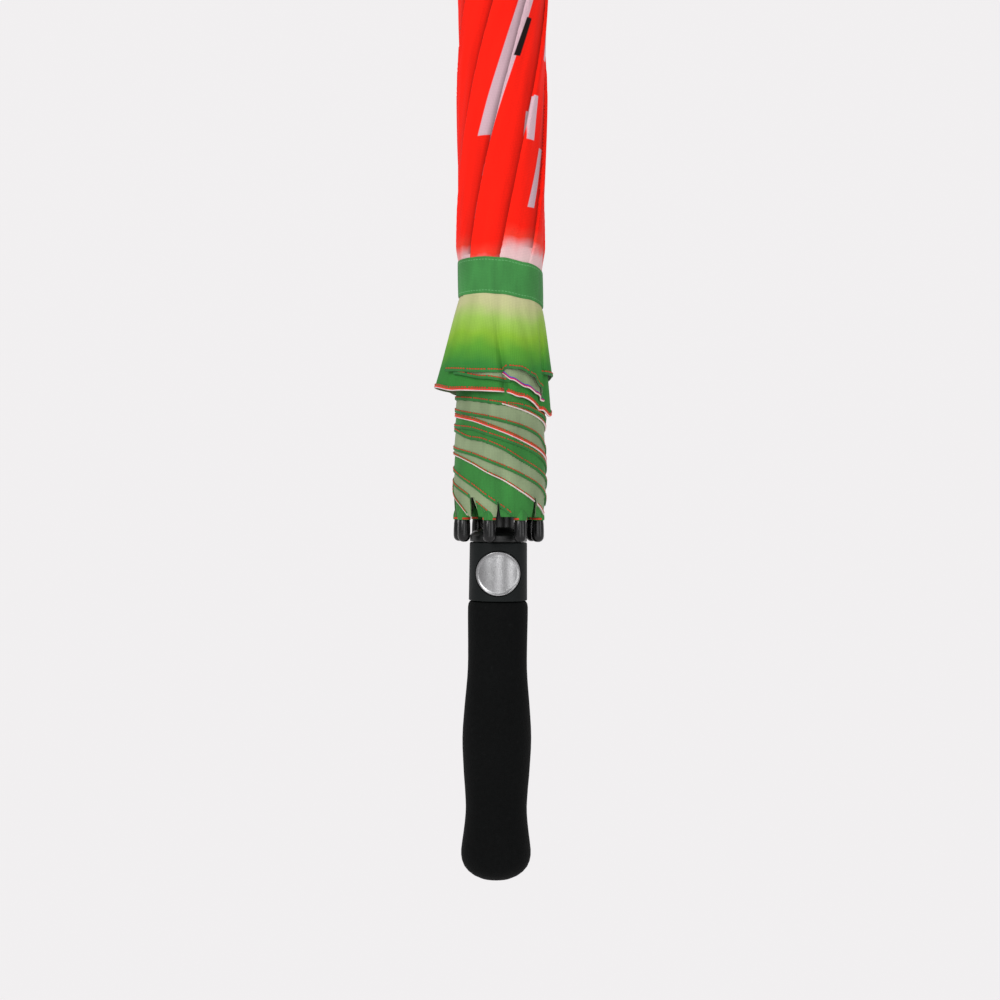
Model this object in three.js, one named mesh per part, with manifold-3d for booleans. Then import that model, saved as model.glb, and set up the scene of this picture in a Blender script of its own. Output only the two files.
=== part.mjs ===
// Golf umbrella, furled and strapped, standing on the end of its grip.
// Millimetres. +Z runs up the shaft, the origin is the lowest point of the grip,
// and the push button faces -Y.
import * as THREE from "three";
import { mergeVertices } from "three/addons/utils/BufferGeometryUtils.js";
import Module from "manifold-3d";

const wasm = await Module();
wasm.setup();

// ---------------------------------------------------------------- main sizes
const RIBS = 8;
const RIB_STEP = (2 * Math.PI) / RIBS;
const FIRST_RIB_DEG = -13; // turned from straight ahead of the button, seen from above

const SHAFT_R = 7;
const SHAFT_BORE_R = 5.3;
const SHAFT_BOTTOM = 12.4;
const SHAFT_TOP = 955;
const ROUND = 20; // sides of the pieces that fit round the shaft

const NOTCH_Z = 938.7; // height of the rib pivots
const PIVOT_R = 11; // rib and stretcher pivots from the shaft's axis
const RIB_R = 1.4;
const RIB_TIP_RADIUS = 22.5; // from the shaft's axis to a rib's lower end
const RIB_LOW_Z = 188.7;
const RIB_LEAN = (RIB_TIP_RADIUS - PIVOT_R) / (NOTCH_Z - RIB_LOW_Z);

const STRETCHER_LENGTH = 341.66;
const STRETCHER_R = 1.2;
const CLIP_OFFSET = 3.2; // rib axis to the rivet that holds the stretcher
const RIVET_Z = NOTCH_Z - STRETCHER_LENGTH;
const RIVET_RADIUS = ribRadiusAt(RIVET_Z) - CLIP_OFFSET;
const RUNNER_PIVOT_Z = NOTCH_Z - 2 * STRETCHER_LENGTH;

const FIT = 0.15; // radial clearance of a pin or shaft in its hole
const PAST = 1; // how far a cutting solid runs on past what it cuts

const WIRE_R = 0.45;
const EYE_HOLE_R = 0.75;
const EYE_THICK = 1.6;
const SLOT_WIDTH = 2.3;

const GRIP_TOP = 155.6;
const CORE_R = 9;
const CORE_TOP = 176.5;
const COLLAR_LOW = 156;
const COLLAR_HIGH = 188.4;
const COLLAR_R = 16.2;

const BUTTON_Z = 171.4;
const BUTTON_R = 12.3;
const BUTTON_TRAVEL = 2.5;
const BUTTON_BACK_R = 12.7;

const RUNNER_BORE_R = 7.35;
const RUNNER_NECK_R = 8.7;
const PIN_Z = 225;
const PIN_R = 1.3;
const RUNNER_TRAVEL = 478;
const PIN_SLOT_HALF_WIDTH = 1.7;
const PIN_SLOT_SPARE = 4; // slot length beyond the pin's travel, at each end

const RIVET_R = 0.7;
const RIVET_HOLE_R = 0.85;
const TIP_LENGTH = 13.9;
const TIP_TOP = 202.6;

const WASHER_LOW = 944.1;
const WASHER_HIGH = 948;
const FERRULE_LOW = 948.3;
const FERRULE_TOP = 1000;

function ribRadiusAt(z) {
  return PIVOT_R + (NOTCH_Z - z) * RIB_LEAN;
}

// ---------------------------------------------------------------- solid tools
function toSolid(geometry) {
  const bare = geometry.index ? geometry.toNonIndexed() : geometry.clone();
  bare.deleteAttribute("normal");
  bare.deleteAttribute("uv");
  const merged = mergeVertices(bare, 1e-4);
  const source = merged.index.array;
  const corners = [];
  for (let i = 0; i < source.length; i += 3) {
    const [a, b, c] = [source[i], source[i + 1], source[i + 2]];
    if (a !== b && b !== c && c !== a) {
      corners.push(a, b, c);
    }
  }
  return new wasm.Manifold(new wasm.Mesh({
    numProp: 3,
    vertProperties: new Float32Array(merged.attributes.position.array),
    triVerts: new Uint32Array(corners),
  }));
}

function toGeometry(solid) {
  const mesh = solid.getMesh();
  const geometry = new THREE.BufferGeometry();
  geometry.setAttribute("position", new THREE.BufferAttribute(mesh.vertProperties, 3));
  geometry.setIndex(new THREE.BufferAttribute(mesh.triVerts, 1));
  geometry.computeVertexNormals();
  return geometry;
}

// A round solid about +Z from [radius, height] pairs, listed from the bottom up
// and starting and ending on the axis.
function turned(profile, sides = ROUND) {
  const points = profile.map(([r, z]) => new THREE.Vector2(r, z));
  return toSolid(new THREE.LatheGeometry(points, sides).rotateX(Math.PI / 2));
}

function disc(radius, low, high, sides = ROUND) {
  return turned([[0, low], [radius, low], [radius, high], [0, high]], sides);
}

function box(low, high) {
  const size = high.map((value, i) => value - low[i]);
  const middle = high.map((value, i) => (value + low[i]) / 2);
  return toSolid(new THREE.BoxGeometry(...size).translate(...middle));
}

// A cylinder along X or Y through a point.
function bar(axis, centre, radius, length, sides = 10) {
  const geometry = new THREE.CylinderGeometry(radius, radius, length, sides);
  if (axis === "x") {
    geometry.rotateZ(Math.PI / 2);
  }
  return toSolid(geometry.translate(...centre));
}

function ring(radius, tube, z, around = 24, sides = 5) {
  return toSolid(new THREE.TorusGeometry(radius, tube, sides, around).translate(0, 0, z));
}

// A rod in the XZ plane between two [x, z] points.
function rod(from, to, radius, sides = 6) {
  const reach = [to[0] - from[0], to[1] - from[1]];
  const length = Math.hypot(...reach);
  const geometry = new THREE.CylinderGeometry(radius, radius, length, sides).rotateX(Math.PI / 2);
  geometry.rotateY(Math.atan2(reach[0], reach[1]));
  return toSolid(geometry.translate((from[0] + to[0]) / 2, 0, (from[1] + to[1]) / 2));
}

function coil(radius, wire, length, turns, stepsPerTurn, sides) {
  class Helix extends THREE.Curve {
    getPoint(t) {
      const angle = 2 * Math.PI * turns * t;
      return new THREE.Vector3(
        radius * Math.cos(angle), radius * Math.sin(angle), wire + t * (length - 2 * wire));
    }
  }
  const outline = new THREE.Shape();
  for (let i = 0; i < sides; i += 1) {
    const angle = (2 * Math.PI * i) / sides;
    const [x, y] = [wire * Math.cos(angle), wire * Math.sin(angle)];
    if (i === 0) {
      outline.moveTo(x, y);
    } else {
      outline.lineTo(x, y);
    }
  }
  return toSolid(new THREE.ExtrudeGeometry(outline, {
    extrudePath: new Helix(), steps: Math.round(turns * stepsPerTurn), curveSegments: 1,
  }));
}

// ---------------------------------------------------------------- assembly
const umbrella = new THREE.Group();
umbrella.name = "golf_umbrella";

const finishes = {
  shaft: [0x1c1e20, 0.35, 0.1],
  foam: [0x131413, 0.95, 0],
  charcoal: [0x24282a, 0.6, 0],
  steel: [0xb8babc, 0.35, 0.9],
  gloss: [0x0c0d0e, 0.15, 0],
  fibreglass: [0x17181a, 0.4, 0],
  red: [0xd8281c, 0.9, 0],
  green: [0x3e8741, 0.9, 0],
};

function place(name, solid, finish, turn = 0) {
  const [color, roughness, metalness] = finishes[finish];
  const material = new THREE.MeshStandardMaterial({ color, roughness, metalness });
  const mesh = new THREE.Mesh(toGeometry(solid), material);
  mesh.geometry.rotateZ(turn);
  mesh.name = name;
  umbrella.add(mesh);
}

// ---------------------------------------------------------------- shaft and spring
const pinSlot = box(
  [-SHAFT_R - PAST, -PIN_SLOT_HALF_WIDTH, PIN_Z - PIN_SLOT_SPARE],
  [SHAFT_R + PAST, PIN_SLOT_HALF_WIDTH, PIN_Z + RUNNER_TRAVEL + PIN_SLOT_SPARE],
);
place("shaft", disc(SHAFT_R, SHAFT_BOTTOM, SHAFT_TOP)
  .subtract(disc(SHAFT_BORE_R, SHAFT_BOTTOM - PAST, SHAFT_TOP + PAST))
  .subtract(pinSlot), "shaft");

const PLUNGER_HALF = 7;
const PLUNGER_LOW = PIN_Z - PLUNGER_HALF;
place("spring_plunger", disc(SHAFT_BORE_R - 2 * FIT, PLUNGER_LOW, PIN_Z + PLUNGER_HALF)
  .subtract(bar("x", [0, 0, PIN_Z], PIN_R + FIT, 2 * SHAFT_R)), "charcoal");

const SPRING_LOW = 12.6;
place("opening_spring", coil(4, 0.8, PLUNGER_LOW - SPRING_LOW - 0.3, 16, 7, 4)
  .translate(0, 0, SPRING_LOW), "steel");

// ---------------------------------------------------------------- grip
const gripProfile = [
  [0, 0], [8, 1], [13.5, 3.6], [17.5, 7.4], [19.5, 13], [19.5, 16.5], [18.9, 21.8],
  [17.5, 32], [17.1, 40], [18, 55], [19.2, 74], [18.8, 88], [17.4, 105.8], [16.5, 119],
  [16.8, 150], [15.8, GRIP_TOP], [0, GRIP_TOP],
];
place("grip", turned(gripProfile, 28).subtract(disc(CORE_R + 0.2, 7.7, GRIP_TOP + PAST)), "foam");

place("grip_core", disc(CORE_R, 8, CORE_TOP)
  .subtract(disc(SHAFT_R + 0.2, 12, CORE_TOP + PAST)), "charcoal");

// ---------------------------------------------------------------- collar, button and latch
const LATCH_LOW = 181;
const LATCH_HIGH = 183;
const LATCH_R = 12.4;
const LATCH_SPARE = 0.3;
const latchSeat = disc(LATCH_R + LATCH_SPARE, LATCH_LOW - LATCH_SPARE, LATCH_HIGH + LATCH_SPARE);
const latchRoom = latchSeat.add(latchSeat.translate(0, BUTTON_TRAVEL + 0.1, 0));
const collarBody = turned([
  [0, COLLAR_LOW], [COLLAR_R - 0.3, COLLAR_LOW], [COLLAR_R + 0.1, COLLAR_LOW + 0.6],
  [COLLAR_R - 0.1, COLLAR_HIGH - 0.8], [COLLAR_R - 0.8, COLLAR_HIGH], [0, COLLAR_HIGH],
], 32);
place("button_collar", collarBody
  .subtract(disc(CORE_R + 0.2, COLLAR_LOW - PAST, COLLAR_HIGH + PAST))
  .subtract(bar("y", [0, -9, BUTTON_Z], BUTTON_R + 0.25, 20, 24))
  .subtract(latchRoom), "charcoal");

const SPRING_POCKET_Y = -14.8;
place("push_button", bar("y", [0, -10, BUTTON_Z], BUTTON_R, 20, 24)
  .intersect(disc(COLLAR_R + 0.3, BUTTON_Z - 15, BUTTON_Z + 15, 40))
  .subtract(disc(BUTTON_BACK_R, BUTTON_Z - 16, BUTTON_Z + 16, 40))
  .subtract(bar("y", [0, SPRING_POCKET_Y + 4, BUTTON_Z], 3, 8)), "steel");

const latchBore = disc(CORE_R + 0.2, LATCH_LOW - PAST, LATCH_HIGH + PAST);
const latchHole = latchBore.add(latchBore.translate(0, -BUTTON_TRAVEL, 0));
place("latch", disc(LATCH_R, LATCH_LOW, LATCH_HIGH)
  .subtract(latchHole)
  .subtract(box([-4, -LATCH_R - PAST, LATCH_LOW - PAST], [4, 0, LATCH_HIGH + PAST]))
  .add(box([-1.4, 8.2, LATCH_LOW], [1.4, 9.8, LATCH_HIGH])), "steel");

place("button_spring", coil(2.2, 0.35, 5.2, 4, 7, 4)
  .rotate([-90, 0, 0])
  .translate(0, SPRING_POCKET_Y + 0.1, BUTTON_Z), "steel");

// ---------------------------------------------------------------- runner
function slots(count, inner, outer, low, high) {
  const cut = [];
  for (let i = 0; i < count; i += 1) {
    const turn = FIRST_RIB_DEG - 90 + (i * 360) / count;
    cut.push(box([inner, -SLOT_WIDTH / 2, low], [outer, SLOT_WIDTH / 2, high]).rotate([0, 0, turn]));
  }
  return wasm.Manifold.union(cut);
}

const TAIL_LOW = 179.4;
const FLANGE_LOW = 188.8;
const CROWN_LOW = RUNNER_PIVOT_Z - 4.8;
const CROWN_HIGH = RUNNER_PIVOT_Z + 3.6;
const CROWN_R = 13.4;
const runnerBody = turned([
  [0, TAIL_LOW], [CORE_R - 0.1, TAIL_LOW], [CORE_R - 0.1, FLANGE_LOW], [16, FLANGE_LOW],
  [16, 192.2], [14.6, 194.6], [RUNNER_NECK_R, 196.4], [RUNNER_NECK_R, CROWN_LOW - 4],
  [CROWN_R, CROWN_LOW], [CROWN_R, CROWN_HIGH], [0, CROWN_HIGH],
]);
place("runner", runnerBody
  .subtract(disc(RUNNER_BORE_R, TAIL_LOW - PAST, CROWN_HIGH + PAST))
  .subtract(box([-1.9, 5, TAIL_LOW - PAST], [1.9, 12, LATCH_HIGH + 1.2]))
  .subtract(bar("x", [0, 0, PIN_Z], PIN_R + FIT, 30))
  .subtract(slots(RIBS, PIVOT_R - 2.1, 20, CROWN_LOW - 6, CROWN_HIGH + PAST))
  .subtract(ring(PIVOT_R, WIRE_R + FIT, RUNNER_PIVOT_Z)), "gloss");
place("runner_wire", ring(PIVOT_R, WIRE_R, RUNNER_PIVOT_Z), "steel");
place("runner_pin", bar("x", [0, 0, PIN_Z], PIN_R, 2 * RUNNER_NECK_R - 0.6, 12), "steel");

// ---------------------------------------------------------------- top of the shaft
const NOTCH_LOW = NOTCH_Z - 4.6;
const NOTCH_HIGH = NOTCH_Z + 4.4;
place("top_notch", turned([
  [0, NOTCH_LOW], [11.6, NOTCH_LOW], [CROWN_R, NOTCH_LOW + 1.6], [CROWN_R, NOTCH_HIGH - 1],
  [12.4, NOTCH_HIGH], [0, NOTCH_HIGH],
])
  .subtract(disc(SHAFT_R + FIT, NOTCH_LOW - PAST, NOTCH_HIGH + PAST))
  .subtract(slots(RIBS, PIVOT_R - 2.5, 20, NOTCH_LOW - PAST, NOTCH_HIGH + PAST))
  .subtract(ring(PIVOT_R, WIRE_R + FIT, NOTCH_Z)), "gloss");
place("notch_wire", ring(PIVOT_R, WIRE_R, NOTCH_Z), "steel");

place("top_washer", turned([
  [0, WASHER_LOW], [12.6, WASHER_LOW], [12.6, WASHER_LOW + 1.5], [10.4, WASHER_HIGH], [0, WASHER_HIGH],
]).subtract(disc(SHAFT_R + FIT, WASHER_LOW - PAST, WASHER_HIGH + PAST)), "gloss");

place("ferrule", turned([
  [0, FERRULE_LOW], [9.2, FERRULE_LOW], [9.6, 950.5], [8.6, 956], [7, 972], [5, 994], [4.4, 998.6],
  [3.8, FERRULE_TOP], [0, FERRULE_TOP],
]).subtract(disc(SHAFT_R + FIT, FERRULE_LOW - PAST, SHAFT_TOP + 2 * FIT)), "gloss");

// ---------------------------------------------------------------- ribs, tips and stretchers
// Each is built leaning along +X, then turned to its own place round the shaft.
function ribSolid() {
  const eye = bar("y", [PIVOT_R, 0, NOTCH_Z], 2.2, EYE_THICK)
    .add(box([PIVOT_R - 1.3, -EYE_THICK / 2, NOTCH_Z - 10], [PIVOT_R + 1.5, EYE_THICK / 2, NOTCH_Z]))
    .subtract(bar("y", [PIVOT_R, 0, NOTCH_Z], EYE_HOLE_R, 2 * EYE_THICK));
  const rodTop = NOTCH_Z - 7;
  const rodLow = RIB_LOW_Z + 3.4;
  const shank = rod([ribRadiusAt(rodLow), rodLow], [ribRadiusAt(rodTop), rodTop], RIB_R);
  const axis = ribRadiusAt(RIVET_Z);
  const clip = box([axis - 4.8, -1.85, RIVET_Z - 4], [axis + RIB_R, 1.85, RIVET_Z + 4])
    .subtract(box([axis - 5, -0.95, RIVET_Z - 5], [axis - RIB_R, 0.95, RIVET_Z + 5]));
  const rivet = bar("y", [RIVET_RADIUS, 0, RIVET_Z], RIVET_R, 3);
  return eye.add(shank).add(clip).add(rivet);
}

function tipSolid() {
  const profile = [[0, 0], [2.2, 0.6], [3.3, 2.4], [3.5, 6], [3, TIP_LENGTH], [0, TIP_LENGTH]];
  return turned(profile, 10)
    .subtract(disc(RIB_R + 0.2, 3, 20, 6))
    .rotate([0, -(Math.atan(RIB_LEAN) * 180) / Math.PI, 0])
    .translate(ribRadiusAt(RIB_LOW_Z), 0, TIP_TOP - TIP_LENGTH);
}

function stretcherSolid() {
  const high = [RIVET_RADIUS, RIVET_Z];
  const low = [PIVOT_R, RUNNER_PIVOT_Z];
  const slope = (high[0] - low[0]) / (high[1] - low[1]);
  const along = (z) => [low[0] + (z - low[1]) * slope, z];
  const plate = 1.5;
  const highPlate = box([high[0] - 1.2, -plate / 2, high[1] - 8], [high[0] + 1.1, plate / 2, high[1]]);
  const lowPlate = box([low[0] - 1.1, -plate / 2, low[1]], [low[0] + 1.2, plate / 2, low[1] + 10]);
  return bar("y", [high[0], 0, high[1]], 1.5, plate)
    .add(highPlate)
    .add(bar("y", [low[0], 0, low[1]], 2, plate))
    .add(lowPlate)
    .add(rod(along(low[1] + 7), along(high[1] - 5.2), STRETCHER_R))
    .subtract(bar("y", [high[0], 0, high[1]], RIVET_HOLE_R, 4))
    .subtract(bar("y", [low[0], 0, low[1]], EYE_HOLE_R, 4));
}

// ---------------------------------------------------------------- cloth panels
// The furled cloth lies round the ribs in sixteen half gores. Each is a slice of the rolled
// bundle: [height, outer radius] pairs from the hem to the crown.
const BUNDLE_LOW = 203.2;
const bundle = [
  [BUNDLE_LOW, 25], [219, 26.4], [245, 25.6], [270, 25.2], [271, 32.6], [284, 31.4],
  [314, 24.1], [352, 24], [372, 24.6], [620, 24], [760, 20.6], [926, 14.6],
];
const CLOTH_GAP = 0.3;
const EDGE_GAP_DEG = 0.6;
const ARC_POINTS = 3;

function panelSolid(side) {
  const low = (EDGE_GAP_DEG * Math.PI) / 180;
  const high = RIB_STEP / 2 - low;
  const rings = bundle.map(([z, outer]) => {
    const inner = ribRadiusAt(z) + RIB_R + CLOTH_GAP;
    const arc = (radius) => Array.from({ length: ARC_POINTS }, (_, i) => {
      const angle = side * (low + ((high - low) * i) / (ARC_POINTS - 1));
      return [radius * Math.cos(angle), radius * Math.sin(angle), z];
    });
    return [...arc(outer), ...arc(inner).reverse()];
  });
  const size = 2 * ARC_POINTS;
  const faces = [];
  const add = (a, b, c) => (side > 0 ? faces.push(a, b, c) : faces.push(a, c, b));
  for (let level = 0; level + 1 < rings.length; level += 1) {
    for (let i = 0; i < size; i += 1) {
      const [a, b] = [level * size + i, level * size + ((i + 1) % size)];
      add(a, b, b + size);
      add(a, b + size, a + size);
    }
  }
  const last = (rings.length - 1) * size;
  for (let i = 0; i + 1 < ARC_POINTS; i += 1) {
    const [a, b, c, d] = [i, i + 1, size - 2 - i, size - 1 - i];
    add(a, c, b);
    add(a, d, c);
    add(last + a, last + b, last + c);
    add(last + a, last + c, last + d);
  }
  const geometry = new THREE.BufferGeometry();
  geometry.setAttribute("position", new THREE.Float32BufferAttribute(rings.flat(2), 3));
  geometry.setIndex(faces);
  return toSolid(geometry);
}

for (let k = 0; k < RIBS; k += 1) {
  const turn = ((FIRST_RIB_DEG - 90) * Math.PI) / 180 + k * RIB_STEP;
  const label = k + 1;
  place(`rib_${label}`, ribSolid(), "fibreglass", turn);
  place(`rib_tip_${label}`, tipSolid(), "gloss", turn);
  place(`stretcher_${label}`, stretcherSolid(), "steel", turn);
  place(`panel_${label}_left`, panelSolid(-1), "red", turn);
  place(`panel_${label}_right`, panelSolid(1), "red", turn);
}

// ---------------------------------------------------------------- strap
const STRAP_LOW = 323;
const STRAP_HEIGHT = 20;
const STRAP_R = 24.3;
const STRAP_THICK = 0.9;
const STRAP_SLOPE = -0.11; // the band is drawn round at a slight slant, lower towards +X
const slanted = [1, 0, STRAP_SLOPE, 0, 0, 1, 0, 0, 0, 0, 1, 0, 0, 0, 0, 1];
place("strap", disc(STRAP_R + STRAP_THICK, STRAP_LOW, STRAP_LOW + STRAP_HEIGHT, 36)
  .subtract(disc(STRAP_R, STRAP_LOW - PAST, STRAP_LOW + STRAP_HEIGHT + PAST, 36))
  .transform(slanted), "green");

export default umbrella;
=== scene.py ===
# Golf umbrella, furled, strapped and held upright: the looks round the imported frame.
import functools
import math

import bpy
from mathutils import Matrix, Vector


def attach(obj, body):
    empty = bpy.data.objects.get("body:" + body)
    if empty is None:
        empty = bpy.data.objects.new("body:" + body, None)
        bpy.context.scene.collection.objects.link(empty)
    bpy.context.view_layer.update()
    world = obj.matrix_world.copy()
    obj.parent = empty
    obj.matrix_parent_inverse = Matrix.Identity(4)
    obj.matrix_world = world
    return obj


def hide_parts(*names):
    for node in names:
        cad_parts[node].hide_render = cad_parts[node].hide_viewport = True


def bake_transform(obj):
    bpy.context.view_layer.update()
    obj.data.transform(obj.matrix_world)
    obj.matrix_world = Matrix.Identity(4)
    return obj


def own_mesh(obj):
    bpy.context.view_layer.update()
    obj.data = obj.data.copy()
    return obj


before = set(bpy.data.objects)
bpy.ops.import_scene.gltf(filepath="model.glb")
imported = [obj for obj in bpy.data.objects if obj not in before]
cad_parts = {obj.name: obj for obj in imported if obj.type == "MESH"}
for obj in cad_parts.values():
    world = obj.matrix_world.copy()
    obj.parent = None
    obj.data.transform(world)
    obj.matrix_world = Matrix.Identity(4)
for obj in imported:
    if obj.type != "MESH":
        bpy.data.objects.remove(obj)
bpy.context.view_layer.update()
scene = bpy.context.scene

MM = 0.001

# ------------------------------------------------------------------ driving sizes, mm and degrees
RIBS = 8
RIB_STEP = 360 / RIBS
HALF_GORE = RIB_STEP / 2
FIRST_RIB = -13.0
NOTCH_Z = 938.7
TIP_Z = 188.7
PIVOT_RADIUS = 11.0
TIP_RADIUS = 22.5
CLOTH_THICK = 0.35
CLOTH_RADIUS = 24.5  # where the cloth's map is true to size
ARC = math.pi / 180 * CLOTH_RADIUS  # mm round the cloth for each degree


def rib_azimuth(number):
    return FIRST_RIB + RIB_STEP * (number - 1)


def rib_radius(z):
    return PIVOT_RADIUS + (NOTCH_Z - z) * (TIP_RADIUS - PIVOT_RADIUS) / (NOTCH_Z - TIP_Z)


def spot(azimuth, radius, z):
    """A point from its angle round the shaft (0 faces the button, + to the right), mm in and metres out."""
    a = math.radians(azimuth)
    return (radius * math.sin(a) * MM, -radius * math.cos(a) * MM, z * MM)


def between(x, table):
    """Straight-line value at x of a table of (x, value) pairs."""
    if x <= table[0][0]:
        return table[0][1]
    for (x0, y0), (x1, y1) in zip(table, table[1:]):
        if x <= x1:
            return y0 + (y1 - y0) * (x - x0) / (x1 - x0)
    return table[-1][1]


def ease(t):
    t = min(max(t, 0.0), 1.0)
    return t * t * (3 - 2 * t)


def smooth_between(x, table):
    """As between, with an eased step from each value to the next."""
    if x <= table[0][0]:
        return table[0][1]
    for (x0, y0), (x1, y1) in zip(table, table[1:]):
        if x <= x1:
            return y0 + (y1 - y0) * ease((x - x0) / (x1 - x0))
    return table[-1][1]


def flowing(x, points):
    """A rounded line through (x, value) points."""
    last = len(points) - 2
    i = next((i for i in range(last) if x <= points[i + 1][0]), last)
    before, start = points[max(i - 1, 0)], points[i]
    end, after = points[i + 1], points[min(i + 2, last + 1)]
    width = end[0] - start[0]
    t = (x - start[0]) / width
    slope_in = (end[1] - before[1]) / (end[0] - before[0]) * width
    slope_out = (after[1] - start[1]) / (after[0] - start[0]) * width
    return (
        (2 * t ** 3 - 3 * t ** 2 + 1) * start[1] + (t ** 3 - 2 * t ** 2 + t) * slope_in
        + (3 * t ** 2 - 2 * t ** 3) * end[1] + (t ** 3 - t ** 2) * slope_out)


# ------------------------------------------------------------------ camera
CAMERA_DISTANCE = 0.825
CAMERA_HEIGHT = 0.212
camera_data = bpy.data.cameras.new("camera")
camera_data.lens = 53.0
camera = bpy.data.objects.new("camera", camera_data)
scene.collection.objects.link(camera)
camera.matrix_world = (
    Matrix.Translation((0.0007, -CAMERA_DISTANCE, CAMERA_HEIGHT))
    @ Matrix.Rotation(math.radians(90), 4, "X")
    @ Matrix.Rotation(math.radians(0.46), 4, "Z")
)
scene.camera = camera


# ------------------------------------------------------------------ material tools
def new_material(name):
    material = bpy.data.materials.new(name)
    material.use_nodes = True
    nodes = material.node_tree.nodes
    return material, nodes, material.node_tree.links, nodes["Principled BSDF"]


def add_node(nodes, kind, **values):
    node = nodes.new(kind)
    for key, value in values.items():
        if key in node.inputs:
            node.inputs[key].default_value = value
        else:
            setattr(node, key, value)
    return node


def ramp(nodes, stops):
    node = nodes.new("ShaderNodeValToRGB")
    band = node.color_ramp
    while len(band.elements) < len(stops):
        band.elements.new(0.5)
    for element, (position, color) in zip(band.elements, stops):
        element.position = position
        element.color = (*color, 1)
    return node


def multiplied(nodes, links, first, second):
    """A node that multiplies two colours."""
    mix = add_node(nodes, "ShaderNodeMixRGB", blend_type="MULTIPLY")
    mix.inputs["Fac"].default_value = 1.0
    links.new(first, mix.inputs["Color1"])
    links.new(second, mix.inputs["Color2"])
    return mix


def linear(r, g, b):
    """An sRGB colour of 0 to 255 as the linear values the shader takes."""
    def one(value):
        value /= 255
        return value / 12.92 if value <= 0.04045 else ((value + 0.055) / 1.055) ** 2.4
    return (one(r), one(g), one(b))


def moulded(name, color, roughness, bump, grain, metallic=0.0, spread=0.25, coat=0.0, shine=0.5):
    """Moulded plastic, foam or metal: two scales of noise vary its colour, gloss and surface."""
    material, nodes, links, shader = new_material(name)
    place = add_node(nodes, "ShaderNodeTexCoord")
    fine = add_node(nodes, "ShaderNodeTexNoise", Scale=grain, Detail=4.0)
    broad = add_node(nodes, "ShaderNodeTexNoise", Scale=45.0, Detail=3.0)
    links.new(place.outputs["Object"], fine.inputs["Vector"])
    links.new(place.outputs["Object"], broad.inputs["Vector"])
    dark = tuple(c * (1 - spread) for c in color)
    light = tuple(c * (1 + spread) for c in color)
    tint = ramp(nodes, [(0.3, dark), (0.7, light)])
    links.new(broad.outputs["Fac"], tint.inputs["Fac"])
    links.new(tint.outputs["Color"], shader.inputs["Base Color"])
    gloss = add_node(nodes, "ShaderNodeMapRange")
    gloss.inputs["To Min"].default_value = roughness * 0.85
    gloss.inputs["To Max"].default_value = min(1.0, roughness * 1.15)
    links.new(fine.outputs["Fac"], gloss.inputs["Value"])
    links.new(gloss.outputs["Result"], shader.inputs["Roughness"])
    relief = add_node(nodes, "ShaderNodeBump", Strength=bump, Distance=0.0004)
    links.new(fine.outputs["Fac"], relief.inputs["Height"])
    links.new(relief.outputs["Normal"], shader.inputs["Normal"])
    shader.inputs["Metallic"].default_value = metallic
    shader.inputs["Coat Weight"].default_value = coat
    shader.inputs["Specular IOR Level"].default_value = shine
    return material


def foam_material():
    """Closed-cell foam: black, dull, with small pale cells cut open at the skin."""
    material, nodes, links, shader = new_material("eva_foam")
    place = add_node(nodes, "ShaderNodeTexCoord")
    cells = add_node(nodes, "ShaderNodeTexVoronoi", Scale=900.0)
    grain = add_node(nodes, "ShaderNodeTexNoise", Scale=420.0, Detail=6.0, Roughness=0.7)
    broad = add_node(nodes, "ShaderNodeTexNoise", Scale=30.0, Detail=2.0)
    for node in (cells, grain, broad):
        links.new(place.outputs["Object"], node.inputs["Vector"])
    skin = ramp(nodes, [(0.35, linear(5, 6, 6)), (0.64, linear(9, 10, 10)), (0.82, linear(26, 28, 28))])
    links.new(grain.outputs["Fac"], skin.inputs["Fac"])
    shade = ramp(nodes, [(0.3, (0.75, 0.75, 0.75)), (0.7, (1, 1, 1))])
    links.new(broad.outputs["Fac"], shade.inputs["Fac"])
    mix = multiplied(nodes, links, skin.outputs["Color"], shade.outputs["Color"])
    links.new(mix.outputs["Color"], shader.inputs["Base Color"])
    pits = add_node(nodes, "ShaderNodeBump", Strength=0.35, Distance=0.0003)
    links.new(cells.outputs["Distance"], pits.inputs["Height"])
    roll = add_node(nodes, "ShaderNodeBump", Strength=0.25, Distance=0.0004)
    links.new(grain.outputs["Fac"], roll.inputs["Height"])
    links.new(pits.outputs["Normal"], roll.inputs["Normal"])
    links.new(roll.outputs["Normal"], shader.inputs["Normal"])
    shader.inputs["Roughness"].default_value = 0.82
    shader.inputs["Specular IOR Level"].default_value = 0.08
    return material


def blasted_material():
    """Bead-blasted silver: fine even sparkle with no direction to it."""
    material, nodes, links, shader = new_material("satin_button")
    place = add_node(nodes, "ShaderNodeTexCoord")
    grain = add_node(nodes, "ShaderNodeTexNoise", Scale=2600.0, Detail=2.0)
    links.new(place.outputs["Object"], grain.inputs["Vector"])
    tint = ramp(nodes, [(0.3, linear(128, 128, 129)), (0.7, linear(172, 172, 173))])
    links.new(grain.outputs["Fac"], tint.inputs["Fac"])
    links.new(tint.outputs["Color"], shader.inputs["Base Color"])
    relief = add_node(nodes, "ShaderNodeBump", Strength=0.25, Distance=0.0001)
    links.new(grain.outputs["Fac"], relief.inputs["Height"])
    links.new(relief.outputs["Normal"], shader.inputs["Normal"])
    shader.inputs["Metallic"].default_value = 1.0
    shader.inputs["Roughness"].default_value = 0.36
    return material


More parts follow.
